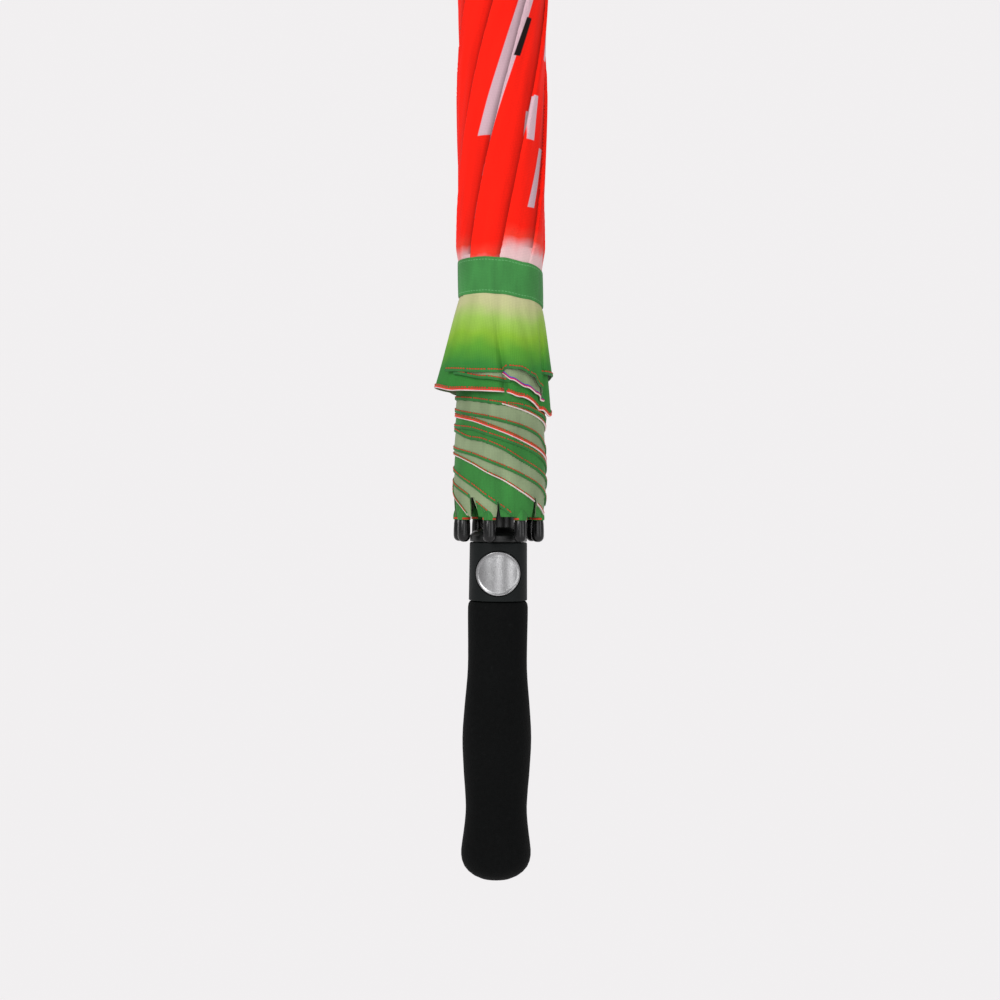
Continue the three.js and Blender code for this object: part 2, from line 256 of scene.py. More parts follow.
def weave(nodes, links, shader, strength, pitch=0.00042, sheen=0.08):
    """Plain weave over the cloth's own map (metres round and up), and soft creases."""
    place = add_node(nodes, "ShaderNodeUVMap", uv_map="cloth")
    heights = []
    for direction in ("X", "Y"):
        wave = add_node(nodes, "ShaderNodeTexWave", wave_type="BANDS", bands_direction=direction)
        wave.inputs["Scale"].default_value = 0.314 / pitch / 2
        wave.inputs["Distortion"].default_value = 0.6
        links.new(place.outputs["UV"], wave.inputs["Vector"])
        heights.append(wave)
    threads = add_node(nodes, "ShaderNodeMath", operation="MULTIPLY")
    links.new(heights[0].outputs["Fac"], threads.inputs[0])
    links.new(heights[1].outputs["Fac"], threads.inputs[1])
    relief = add_node(nodes, "ShaderNodeBump", Strength=strength, Distance=0.00012)
    links.new(threads.outputs["Value"], relief.inputs["Height"])
    stretch = add_node(nodes, "ShaderNodeMapping")
    stretch.inputs["Scale"].default_value = (150, 26, 1)
    links.new(place.outputs["UV"], stretch.inputs["Vector"])
    creases = add_node(nodes, "ShaderNodeTexNoise", Scale=1.0, Detail=4.0, Roughness=0.5)
    creases.inputs["Distortion"].default_value = 0.5
    links.new(stretch.outputs["Vector"], creases.inputs["Vector"])
    folds = add_node(nodes, "ShaderNodeBump", Strength=0.45, Distance=0.0009)
    links.new(creases.outputs["Fac"], folds.inputs["Height"])
    links.new(relief.outputs["Normal"], folds.inputs["Normal"])
    links.new(folds.outputs["Normal"], shader.inputs["Normal"])
    shader.inputs["Roughness"].default_value = 0.78
    shader.inputs["Sheen Weight"].default_value = sheen
    shader.inputs["Sheen Roughness"].default_value = 0.4
    shader.inputs["Specular IOR Level"].default_value = 0.25
    return place, creases, threads


def shaded(nodes, links, color_output, creases, threads, shader, low=0.8):
    """The printed colour with painted shade: darker in the creases and between the threads."""
    depth = ramp(nodes, [(0.3, (low, low, low)), (0.62, (1, 1, 1))])
    links.new(creases.outputs["Fac"], depth.inputs["Fac"])
    first = multiplied(nodes, links, color_output, depth.outputs["Color"])
    painted_thread_shade = ramp(nodes, [(0.0, (0.86, 0.86, 0.86)), (0.6, (1, 1, 1))])
    links.new(threads.outputs["Value"], painted_thread_shade.inputs["Fac"])
    second = multiplied(nodes, links, first.outputs["Color"], painted_thread_shade.outputs["Color"])
    links.new(second.outputs["Color"], shader.inputs["Base Color"])


def plain_cloth(name, color, spread=0.12, strength=0.5):
    material, nodes, links, shader = new_material(name)
    place, creases, threads = weave(nodes, links, shader, strength)
    dye = add_node(nodes, "ShaderNodeTexNoise", Scale=22.0, Detail=3.0)
    links.new(place.outputs["UV"], dye.inputs["Vector"])
    tint = ramp(nodes, [
        (0.35, tuple(c * (1 - spread) for c in color)),
        (0.65, tuple(min(1, c * (1 + spread)) for c in color)),
    ])
    links.new(dye.outputs["Fac"], tint.inputs["Fac"])
    shaded(nodes, links, tint.outputs["Color"], creases, threads, shader)
    return material


PRINT_TOP = 0.46  # metres up the cloth that the printed border's ramp covers

# Plain printed patches, mm: from, to (round the cloth), from, to (up it), lean, and the ink.
PATCHES = [
    (-27.5, -19.4, 416, 508, 0.05, "pale"), (1, 7, 411, 436, -0.12, "pale"),
    (10.5, 15.5, 374, 408, 0.08, "pale"), (5, 11, 458, 476, -0.1, "pale"),
    (-18.4, -14.6, 465, 487, 0.08, "dark"), (-19.5, -19.2, 394, 403, 0, "pale"),
    (-19.5, -19.2, 371, 380, 0, "pale"), (30, 38, 420, 500, 0.1, "pale"),
    (52, 58, 390, 452, -0.05, "pale"), (-60, -54, 520, 590, 0.06, "pale"),
    (-78, -73, 380, 440, 0.1, "pale"), (-44, -40, 500, 526, 0.1, "dark"),
    (14, 22, 560, 660, 0.1, "pale"), (-20, -12, 600, 700, 0.08, "pale"),
    (44, 50, 620, 720, 0.05, "pale"), (-56, -50, 650, 760, 0.1, "pale"),
    (-2, 4, 740, 830, 0.06, "pale"), (60, 66, 760, 860, 0.08, "pale"),
]


def soft_step(nodes, links, value, edge, rising):
    """1 above the edge (or below it, when not rising), with an edge a fraction of a millimetre wide."""
    blur = 0.00025
    node = add_node(nodes, "ShaderNodeMapRange")
    node.inputs["From Min"].default_value = edge - blur
    node.inputs["From Max"].default_value = edge + blur
    node.inputs["To Min"].default_value = 0.0 if rising else 1.0
    node.inputs["To Max"].default_value = 1.0 if rising else 0.0
    links.new(value, node.inputs["Value"])
    return node.outputs["Result"]


def product(nodes, links, values):
    result = values[0]
    for value in values[1:]:
        node = add_node(nodes, "ShaderNodeMath", operation="MULTIPLY")
        links.new(result, node.inputs[0])
        links.new(value, node.inputs[1])
        result = node.outputs["Value"]
    return result


VALLEY_LOW = 352  # mm, the rolls' shadows start above the strap


def valley_shadow(nodes, links, split, color):
    """Painted shade: the rolled cloth's colour is darkened where it runs in under the next roll's free edge.
    """
    roll = add_node(nodes, "ShaderNodeMath", operation="DIVIDE")
    roll.inputs[1].default_value = RIB_STEP * ARC * MM
    links.new(split.outputs["X"], roll.inputs[0])
    part = add_node(nodes, "ShaderNodeMath", operation="FRACT")
    links.new(roll.outputs["Value"], part.inputs[0])
    depth = ramp(nodes, [
        (0.0, (1, 1, 1)), (0.5, (1, 1, 1)), (0.85, (0.8, 0.8, 0.8)), (0.985, (0.42, 0.42, 0.42)),
    ])
    links.new(part.outputs["Value"], depth.inputs["Fac"])
    above = soft_step(nodes, links, split.outputs["Y"], VALLEY_LOW * MM, True)
    dark = multiplied(nodes, links, color, depth.outputs["Color"])
    links.new(above, dark.inputs["Fac"])
    return dark.outputs["Color"]


def printed_cloth():
    """The canopy's print, up the cloth: green border, lime, cream, pink-white, then red."""
    material, nodes, links, shader = new_material("canopy_print")
    place, creases, threads = weave(nodes, links, shader, 0.3, sheen=0.03)
    split = add_node(nodes, "ShaderNodeSeparateXYZ")
    links.new(place.outputs["UV"], split.inputs["Vector"])
    edge = add_node(nodes, "ShaderNodeTexNoise", Scale=90.0, Detail=2.0)
    links.new(place.outputs["UV"], edge.inputs["Vector"])
    wander = add_node(nodes, "ShaderNodeMath", operation="MULTIPLY_ADD")
    wander.inputs[1].default_value = 0.008
    links.new(edge.outputs["Fac"], wander.inputs[0])
    links.new(split.outputs["Y"], wander.inputs[2])
    share = add_node(nodes, "ShaderNodeMath", operation="DIVIDE")
    share.inputs[1].default_value = PRINT_TOP
    links.new(wander.outputs["Value"], share.inputs[0])

    def stop(height, color):
        return ((height + 4) * MM / PRINT_TOP, linear(*color))

    bands = ramp(nodes, [
        stop(203, (48, 120, 52)), stop(284, (54, 126, 54)), stop(294, (88, 152, 50)),
        stop(302, (132, 176, 54)), stop(310, (150, 186, 86)), stop(319, (184, 186, 134)),
        stop(330, (196, 190, 150)), stop(344, (222, 190, 190)), stop(350, (224, 182, 184)),
        stop(357, (238, 60, 44)), stop(364, (250, 30, 14)),
    ])
    links.new(share.outputs["Value"], bands.inputs["Fac"])
    color = bands.outputs["Color"]
    inks = {"pale": linear(212, 178, 188), "dark": linear(28, 20, 20)}
    for left, right, low, high, lean, ink in PATCHES:
        skew = add_node(nodes, "ShaderNodeMath", operation="MULTIPLY_ADD")
        skew.inputs[1].default_value = -lean
        links.new(split.outputs["Y"], skew.inputs[0])
        links.new(split.outputs["X"], skew.inputs[2])
        mask = product(nodes, links, [
            soft_step(nodes, links, skew.outputs["Value"], (left - lean * low) * MM, True),
            soft_step(nodes, links, skew.outputs["Value"], (right - lean * low) * MM, False),
            soft_step(nodes, links, split.outputs["Y"], low * MM, True),
            soft_step(nodes, links, split.outputs["Y"], high * MM, False),
        ])
        mix = add_node(nodes, "ShaderNodeMixRGB", blend_type="MIX")
        mix.inputs["Color2"].default_value = (*inks[ink], 1)
        links.new(mask, mix.inputs["Fac"])
        links.new(color, mix.inputs["Color1"])
        color = mix.outputs["Color"]
    color = valley_shadow(nodes, links, split, color)
    shaded(nodes, links, color, creases, threads, shader, low=0.88)
    shader.inputs["Roughness"].default_value = 0.88
    shader.inputs["Specular IOR Level"].default_value = 0.1
    return material


materials = {
    "print": printed_cloth(),
    "inner": plain_cloth("cloth_inner", linear(132, 149, 114)),
    "green": plain_cloth("cloth_green", linear(50, 122, 52)),
    "sage": plain_cloth("cloth_sage", linear(136, 152, 116)),
    "hem_green": plain_cloth("hem_green", linear(46, 116, 54), strength=0.7),
    "hem_pale": plain_cloth("hem_pale", linear(226, 206, 204), strength=0.7),
    "hem_red": plain_cloth("hem_red", linear(226, 44, 34), strength=0.7),
    "hem_magenta": plain_cloth("hem_magenta", linear(196, 34, 92), strength=0.7),
    "hem_blue": plain_cloth("hem_blue", linear(66, 70, 190), strength=0.7),
    "stitch": plain_cloth("stitch_red", linear(196, 54, 34), strength=0.9),
    "strap": plain_cloth("strap_weave", linear(60, 132, 64), strength=0.9),
    "strap_stitch": plain_cloth("strap_stitch", linear(98, 164, 102), strength=0.9),
    "foam": foam_material(),
    "collar": moulded("collar_plastic", linear(17, 20, 20), 0.6, 0.25, 1500.0, shine=0.12),
    "recess": moulded("recess_plastic", linear(12, 13, 13), 0.6, 0.2, 1500.0),
    "gloss": moulded("gloss_plastic", linear(9, 9, 10), 0.24, 0.05, 300.0, shine=0.35),
    "neck": moulded("runner_plastic", linear(12, 13, 13), 0.34, 0.12, 700.0, shine=0.3),
    "paint": moulded("shaft_paint", linear(24, 25, 26), 0.3, 0.05, 500.0),
    "rod": moulded("glass_fibre", linear(18, 18, 19), 0.38, 0.3, 1800.0),
    "enamel": moulded("black_enamel", linear(20, 20, 21), 0.28, 0.06, 600.0),
    "wire": moulded("drawn_wire", linear(176, 177, 178), 0.3, 0.15, 2400.0, metallic=1.0, spread=0.1),
    "button": blasted_material(),
}


# ------------------------------------------------------------------ mesh tools
def make_object(name, points, faces, slots=("",), face_slots=None, smooth=True):
    mesh = bpy.data.meshes.new(name)
    mesh.from_pydata(points, [], faces)
    for slot in slots:
        mesh.materials.append(materials[slot])
    if face_slots:
        mesh.polygons.foreach_set("material_index", face_slots)
    mesh.polygons.foreach_set("use_smooth", [smooth] * len(faces))
    mesh.update()
    piece = bpy.data.objects.new(name, mesh)
    scene.collection.objects.link(piece)
    return piece


def set_map(piece, places):
    """Gives each vertex its place on the flat cloth, in metres round and up."""
    layer = piece.data.uv_layers.new(name="cloth")
    flat = []
    for loop in piece.data.loops:
        flat += places[loop.vertex_index]
    layer.data.foreach_set("uv", flat)


def lathe(name, profile, slot, sides=96, sharp=35):
    """A turned piece from (radius, height) pairs, in mm, from axis to axis or back to the first."""
    points = []
    faces = []
    rows = []
    for radius, z in profile:
        if rows and (radius, z) == profile[0]:
            rows.append(rows[0])
        elif radius == 0:
            rows.append([len(points)])
            points.append((0, 0, z * MM))
        else:
            rows.append(list(range(len(points), len(points) + sides)))
            points += [spot(360 * i / sides, radius, z) for i in range(sides)]
    for low, high in zip(rows, rows[1:]):
        for i in range(sides):
            j = (i + 1) % sides
            if len(low) == 1:
                faces.append((low[0], high[j], high[i]))
            elif len(high) == 1:
                faces.append((low[i], low[j], high[0]))
            else:
                faces.append((low[i], low[j], high[j], high[i]))
    piece = make_object(name, points, faces, (slot,))
    piece.data.set_sharp_from_angle(angle=math.radians(sharp))
    return piece


def rounded(profile, steps=5):
    """Cuts each corner of a (radius, height, bend) profile back by its bend and rounds it."""
    result = []
    for i, (r, z, bend) in enumerate(profile):
        if bend == 0:
            result.append((r, z))
            continue
        here = Vector((r, z))
        before = (Vector(profile[i - 1][:2]) - here).normalized() * bend
        after = (Vector(profile[i + 1][:2]) - here).normalized() * bend
        for s in range(steps + 1):
            t = s / steps
            curve = here + before * (1 - t) ** 2 + after * t ** 2
            result.append((curve.x, curve.y))
    return result


def cut(piece, *cutters):
    for cutter in cutters:
        modifier = piece.modifiers.new("cut", "BOOLEAN")
        modifier.object = cutter
        modifier.operation = "DIFFERENCE"
        modifier.solver = "EXACT"
        bpy.context.view_layer.objects.active = piece
        for other in bpy.context.selected_objects:
            other.select_set(False)
        piece.select_set(True)
        bpy.ops.object.modifier_apply(modifier=modifier.name)
    for cutter in cutters:
        bpy.data.objects.remove(cutter, do_unlink=True)
    piece.data.set_sharp_from_angle(angle=math.radians(30))
    return piece


def finish_piece(piece, body, slot, *nodes):
    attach(piece, body)
    if nodes:
        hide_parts(*nodes)
    return piece


# ------------------------------------------------------------------ grip, collar and button
ROOT = "shaft_and_handle"
grip_outline = [
    (0, 0), (5, 0.25), (9.5, 1.2), (13, 2.9), (15.8, 5.1), (17.8, 7.6), (19, 10.6), (19.5, 13.4),
    (19.5, 16.4), (19.0, 20.6), (18.3, 25.6), (17.6, 31.5), (17.2, 36.4), (17.1, 40.4),
    (17.3, 45), (17.7, 51), (18.3, 58), (18.8, 66), (19.2, 73), (19.3, 79), (19.1, 85),
    (18.6, 92), (18.0, 99.5), (17.4, 106), (16.9, 112), (16.6, 117.5), (16.5, 123),
    (16.6, 134), (16.8, 147), (16.8, 152), (16.5, 154), (15.8, 155.3), (14.6, 155.6),
    (9.3, 155.6), (9.3, 7.8), (0, 7.8),
]
grip = finish_piece(lathe("grip_foam", grip_outline, "foam", 128), ROOT, "foam", "grip")

COLLAR_LOW, COLLAR_HIGH, COLLAR_RADIUS = 156.0, 188.4, 16.2
collar = lathe("collar", rounded([
    (9.3, COLLAR_LOW, 0), (16.35, COLLAR_LOW, 0.5), (16.05, COLLAR_HIGH, 0.9),
    (9.3, COLLAR_HIGH, 0), (9.3, COLLAR_LOW, 0),
]), "collar", 160)
BUTTON_Z, BUTTON_RADIUS = 171.4, 12.3
BUTTON_BACK = 12.9  # radius of the button's hollow back, about the shaft
BUTTON_POCKET = -14.95  # floor of the pocket that the spring's end sits in
POCKET_RADIUS = 3.1


def plug(name, radius, near, far, sides=96):
    """A cutting cylinder along Y at the button's height."""
    rim = [(radius * math.cos(2 * math.pi * i / sides), radius * math.sin(2 * math.pi * i / sides))
           for i in range(sides)]
    points = [(x * MM, near * MM, (BUTTON_Z + z) * MM) for x, z in rim]
    points += [(x * MM, far * MM, (BUTTON_Z + z) * MM) for x, z in rim]
    faces = [tuple(range(sides)), tuple(range(2 * sides - 1, sides - 1, -1))]
    faces += [(i, sides + i, sides + (i + 1) % sides, (i + 1) % sides) for i in range(sides)]
    return make_object(name, points, faces, ("recess",), smooth=False)


cut(collar, plug("pocket", BUTTON_RADIUS + 0.45, -22, 1.0))
finish_piece(collar, ROOT, "charcoal_plastic", "button_collar")


def button_mesh():
    """A disc wrapped on the collar's curve, with a bevelled rim, a hollow back and a spring pocket."""
    sides = 96
    rings = [
        (0.0, 0.35), (3.0, 0.33), (6.0, 0.26), (8.6, 0.16), (10.2, 0.1), (10.9, 0.14), (11.25, 0.34),
        (11.6, 0.5), (11.9, 0.44), (12.15, 0.2), (BUTTON_RADIUS, -0.15),
    ]
    points = []
    rows = []
    for radius, lift in rings:
        count = 1 if radius == 0 else sides
        rows.append(list(range(len(points), len(points) + count)))
        for i in range(count):
            a = 2 * math.pi * i / sides
            x, z = radius * math.cos(a), radius * math.sin(a)
            y = -math.sqrt((COLLAR_RADIUS + 0.1) ** 2 - x * x) - lift + 0.1
            points.append((x * MM, y * MM, (BUTTON_Z + z) * MM))
    back = [(radius, None) for radius in (BUTTON_RADIUS, 9.0, 6.0, POCKET_RADIUS)]
    back += [(POCKET_RADIUS, BUTTON_POCKET), (0.0, BUTTON_POCKET)]
    for radius, floor in back:
        count = 1 if radius == 0 else sides
        rows.append(list(range(len(points), len(points) + count)))
        for i in range(count):
            a = 2 * math.pi * i / sides
            x, z = radius * math.cos(a), radius * math.sin(a)
            y = floor or -math.sqrt(BUTTON_BACK ** 2 - x * x)
            points.append((x * MM, y * MM, (BUTTON_Z + z) * MM))
    faces = []
    for inner, outer in zip(rows, rows[1:]):
        for i in range(sides):
            j = (i + 1) % sides
            if len(inner) == 1:
                faces.append((inner[0], outer[i], outer[j]))
            elif len(outer) == 1:
                faces.append((inner[i], outer[0], inner[j]))
            else:
                faces.append((inner[i], outer[i], outer[j], inner[j]))
    piece = make_object("button_cap", points, faces, ("button",))
    piece.data.set_sharp_from_angle(angle=math.radians(40))
    return piece


finish_piece(button_mesh(), "button", "satin_metal", "push_button")


# ------------------------------------------------------------------ shaft, runner, notch and ferrule
def slot_cutter(name, inner, outer, low, high, width=2.3):
    """Eight upright slots, one to each rib."""
    points = []
    faces = []
    for number in range(1, RIBS + 1):
        a = math.radians(rib_azimuth(number))
        out = Vector((math.sin(a), -math.cos(a), 0))
        side = Vector((math.cos(a), math.sin(a), 0))
        base = len(points)
        for z in (low, high):
            for reach, shift in ((inner, -1), (outer, -1), (outer, 1), (inner, 1)):
                corner = out * reach + side * (shift * width / 2) + Vector((0, 0, z))
                points.append(tuple(corner * MM))
        faces.append((base, base + 3, base + 2, base + 1))
        faces.append((base + 4, base + 5, base + 6, base + 7))
        for i in range(4):
            j = (i + 1) % 4
            faces.append((base + i, base + j, base + 4 + j, base + 4 + i))
    return make_object(name, points, faces, ("gloss",), smooth=False)


CROWN_LOW, CROWN_HIGH = 250.6, 259.0
runner = lathe("runner_body", rounded([
    (7.4, 179.4, 0), (8.9, 179.4, 0.3), (8.9, 188.8, 0), (16.0, 188.8, 0.4), (16.0, 192.2, 0.5),
    (14.2, 194.4, 0.8), (8.7, 196.2, 1.2), (8.7, 246.6, 1.5), (13.4, CROWN_LOW, 0.8),
    (13.4, CROWN_HIGH, 0.6), (7.4, CROWN_HIGH, 0), (7.4, 179.4, 0),
]), "neck", 112)
cut(runner, slot_cutter("runner_slots", 8.9, 20, CROWN_LOW - 6, CROWN_HIGH + 1))
finish_piece(runner, "slider", "gloss_plastic", "runner")

notch = lathe("notch_body", rounded([
    (7.2, 934.1, 0), (11.6, 934.1, 0.3), (13.4, 935.7, 0.5), (13.4, 942.1, 0.5), (12.4, 943.1, 0.3),
    (7.2, 943.1, 0), (7.2, 934.1, 0),
]), "gloss", 96)
cut(notch, slot_cutter("notch_slots", 8.5, 20, 933, 945))
finish_piece(notch, ROOT, "gloss_plastic", "top_notch")

ferrule = lathe("ferrule_tip", rounded([
    (0, 948.3, 0), (9.3, 948.3, 0.4), (9.6, 950.5, 0.5), (8.6, 955, 0.8), (8.5, 957.4, 0.3),
    (7.3, 958.6, 0.4), (6.6, 973, 2), (5, 993, 2), (4.6, 998.2, 0.8), (3.9, 1000, 0.4), (0, 1000, 0),
]), "gloss", 72)
finish_piece(ferrule, ROOT, "gloss_plastic", "ferrule")

washer = lathe("washer", rounded([
    (7.2, 944.1, 0), (12.6, 944.1, 0.2), (12.6, 945.4, 0.4), (10.2, 947.9, 1.2), (7.2, 947.9, 0),
    (7.2, 944.1, 0),
]), "gloss", 72)
finish_piece(washer, ROOT, "gloss_plastic", "top_washer")


def rib_tip(number):
    """A glossy bullet cap, leaning with its rib."""
    profile = [(0, 0), (1.3, 0.14), (2.4, 0.75), (3.15, 1.8), (3.45, 3.2), (3.5, 6.5), (3.4, 10),
               (3.1, 12.6), (2.6, 13.7), (0, 13.9)]
    piece = lathe(f"tip_{number}", profile, "gloss", 32)
    lean = math.atan((TIP_RADIUS - PIVOT_RADIUS) / (NOTCH_Z - TIP_Z))
    turn = math.radians(rib_azimuth(number))
    place = Matrix.Translation(Vector(spot(rib_azimuth(number), TIP_RADIUS, TIP_Z)))
    piece.data.transform(place @ Matrix.Rotation(turn, 4, "Z") @ Matrix.Rotation(-lean, 4, "X"))
    return finish_piece(piece, f"rib_{number}_arm", "gloss_plastic", f"rib_tip_{number}")


for number in range(1, RIBS + 1):
    rib_tip(number)

node_finish = {
    "shaft": "paint", "grip_core": "recess", "latch": "wire", "button_spring": "wire",
    "opening_spring": "wire", "spring_plunger": "recess", "notch_wire": "wire",
    "runner_wire": "wire", "runner_pin": "wire",
}
for number in range(1, RIBS + 1):
    node_finish[f"rib_{number}"] = "rod"
    node_finish[f"stretcher_{number}"] = "enamel"
for name, finish in node_finish.items():
    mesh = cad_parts[name].data
    mesh.materials.clear()
    mesh.materials.append(materials[finish])
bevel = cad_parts["shaft"].modifiers.new("round", "BEVEL")
bevel.width = 0.0006
bevel.segments = 2

# ------------------------------------------------------------------ furled cloth: shapes
# Angles here are unrolled: they run from the closing edge at the back, round the left, the
# front (0) and the right, to the closing edge again.
SEAM = rib_azimuth(5) + HALF_GORE - 360


def unrolled(angle):
    return (angle - SEAM) % 360 + SEAM


# Hems of the wound layers below the strap, highest first: (angle, height) pairs, the face that
# shows above each hem, and the kind of edge it has.
HEMS = [
    ([(-171, 270), (-80, 267.5), (-36, 266), (3, 263.5), (28, 262.5), (57, 259.5), (85, 256.5),
      (130, 250), (190, 241)],
     "green", "bound"),
    ([(3, 264), (28, 261), (57, 257), (85, 253), (130, 246), (190, 237)], "green", "rimmed"),
    ([(-171, 265), (-80, 260.6), (-21, 256.6), (6, 254), (34, 250.5), (57, 246.5), (78, 241),
      (130, 230), (190, 219)],
     "sage", "bound"),
    ([(-171, 262), (-80, 257.8), (-36, 254.8), (-13, 251.4), (11, 247.4), (32, 243.5), (78, 235),
      (130, 224), (190, 212)],
     "sage", "striped"),
    ([(-171, 257), (-80, 251.8), (-36, 249.9), (-13, 246.8), (11, 243.3), (34, 239.8), (57, 235.8),
      (78, 231.5), (130, 219), (180, 204)],
     "green", "bound"),
    ([(-171, 254), (-75, 249.2), (-40, 245), (-21, 243.7), (6, 238.8), (28, 233.2), (52, 228.4),
      (85, 222), (120, 213), (150, 203)],
     "green", "bound"),
    ([(-171, 245), (-75, 239.2), (-36, 236), (-13, 232.4), (14, 227.6), (34, 223.6), (54, 219.7),
      (78, 214), (105, 206), (115, 202)],
     "sage", "bound"),
    ([(-171, 242), (-66, 235.7), (-36, 231.5), (-13, 226.2), (6, 222.2), (28, 216.2), (52, 210),
      (78, 203)],
     "sage", "rimmed"),
    ([(-171, 235), (-75, 226.7), (-36, 219.5), (-13, 212.5), (6, 206.7), (20, 202)], "green", "bound"),
    ([(-171, 231), (-88, 221), (-47, 215), (-24, 208), (-10, 203), (-1, 200)], "sage", "bound"),
    ([(-171, 229), (-90, 219.5), (-78, 214.2), (-55, 207.8), (-40, 202)], "sage", "rimmed"),
]
LOWER_TOP = 300.0
GAP_TOP = 216.0  # above this the wound cloth is whole all the way round
LOWER_PROFILE = [
    (200, 24.2), (206, 24.9), (216, 25.6), (232, 25.2), (250, 24.8), (268, 24.6), (300, 22.6),
]

# Each kind of hem from its lower edge up: the height it reaches, its lift and its colour.
EDGES = {
    "bound": [
        (0.0, 0.15, "hem_green"), (0.3, 0.45, "hem_green"), (1.5, 0.5, "hem_green"),
        (2.1, 0.25, "hem_green"),
    ],
    "rimmed": [
        (0.0, 0.2, "hem_pale"), (0.25, 0.5, "hem_pale"), (0.65, 0.5, "hem_green"),
        (1.5, 0.25, "hem_green"),
    ],
    "striped": [
        (0.0, 0.15, "hem_pale"), (0.25, 0.45, "hem_pale"), (0.55, 0.5, "hem_red"),
        (1.35, 0.45, "hem_green"), (2.4, 0.2, "hem_green"),
    ],
    "printed": [
        (0.0, 0.15, "hem_pale"), (0.25, 0.45, "hem_pale"), (0.5, 0.5, "hem_magenta"),
        (1.3, 0.45, "hem_blue"), (1.8, 0.2, "hem_blue"),
    ],
}
STITCH_RISE = {"bound": 1.75, "rimmed": 1.1, "striped": 1.95, "printed": 0.0}


@functools.lru_cache(maxsize=None)
def hem_height(index, azimuth):
    points = HEMS[index][0]
    if not points[0][0] <= azimuth <= points[-1][0]:
        return None
    return flowing(azimuth, points)


@functools.lru_cache(maxsize=None)
def hem_heights(azimuth):
    found = [(hem_height(i, azimuth), i) for i in range(len(HEMS))]
    return [pair for pair in found if pair[0] is not None]


def cloth_end(azimuth):
    """Height of the cloth's lower end: down to the pockets at the ribs, with a gap after each."""
    past_rib = (azimuth - FIRST_RIB) % RIB_STEP
    number = math.floor((azimuth - FIRST_RIB) / RIB_STEP)
    start = 15 + 5 * math.sin(2.1 * number + 4.2)
    reach = 10 + 5 * math.sin(1.7 * number - 2.0)
    opening = ease((past_rib - start) / 1.6) * ease((start + reach - past_rib) / 5)
    return 202.8 + 10.5 * opening


def lower_radius(azimuth, z):
    """Outer face of the wound layers, each one standing proud where its hem ends."""
    radius = between(z, LOWER_PROFILE) + 0.45 * math.sin(math.radians(azimuth))
    heights = hem_heights(azimuth)
    below = [h for h, _ in heights if h <= z + 0.001]
    above = [h for h, _ in heights if h > z + 0.001]
    if below:
        radius += 0.6 * math.exp(-(z - max(below)) / 6)
    if above:
        radius -= 0.3 * math.exp(-(min(above) - z) / 1.2)
    return radius + 0.16 * math.sin(math.radians(5 * azimuth) + z / 6) * min(1, (300 - z) / 40)


def lower_face(azimuth, z):
    below = [(h, i) for h, i in hem_heights(azimuth) if h <= z]
    return HEMS[max(below)[1]][1] if below else "green"


# Above the strap each gore is rolled to the right over the next one. The eight free edges lie
# 45 degrees apart and turn round the shaft together as they go up.
TWIST = [
    (300, -24), (345, -1), (376, 13), (400, 25), (433, 44), (468, 66), (486, 78), (600, 150),
    (760, 215), (946, 270),
]
UPPER_LOW = 325.0
UPPER_TOP = 939.5
UPPER_PROFILE = [
    (325, 22.9), (341, 22.9), (352, 24.4), (372, 24.7), (420, 24.3), (492, 24.3), (620, 23.9),
    (760, 20.7), (880, 16.8), (926, 14.7), (940, 14.0),
]
ROLL_DEPTHS = [1.9, 3.0, 2.3, 2.7, 2.1, 2.9, 2.2, 2.6]
PRINT_SHIFTS = [1.5, 3.5, 8.0, 2.5, 6.0, 3.0, 5.0, 11.0]


def roll_place(azimuth, z):
    """Which roll a point lies on, and how far across it, from 0 at its free edge to 1."""
    turn = (azimuth - between(z, TWIST)) / RIB_STEP
    number = math.floor(turn)
    return number, turn - number


def upper_radius(azimuth, z):
    number, across = roll_place(azimuth, z)
    loose = smooth_between(z, [(325, 0.12), (342, 0.2), (356, 0.55), (400, 0.9), (700, 0.8), (940, 0.35)])
    depth = ROLL_DEPTHS[number % RIBS] * loose
    rise = ease(across / 0.04)
    radius = between(z, UPPER_PROFILE) + depth * (rise * (1 - across) ** 1.7 - 0.4)
    radius += 0.16 * loose * math.sin(2 * math.pi * 2.3 * across + z / 37 + number)
    radius += 0.3 * loose * math.sin(math.radians(azimuth) * 2 + z / 29)
    return radius


def print_shift(number, z):
    """How much lower each roll's print sits, for cloth drawn further down under the strap."""
    return PRINT_SHIFTS[number % RIBS] * ease((z - 335) / 8)


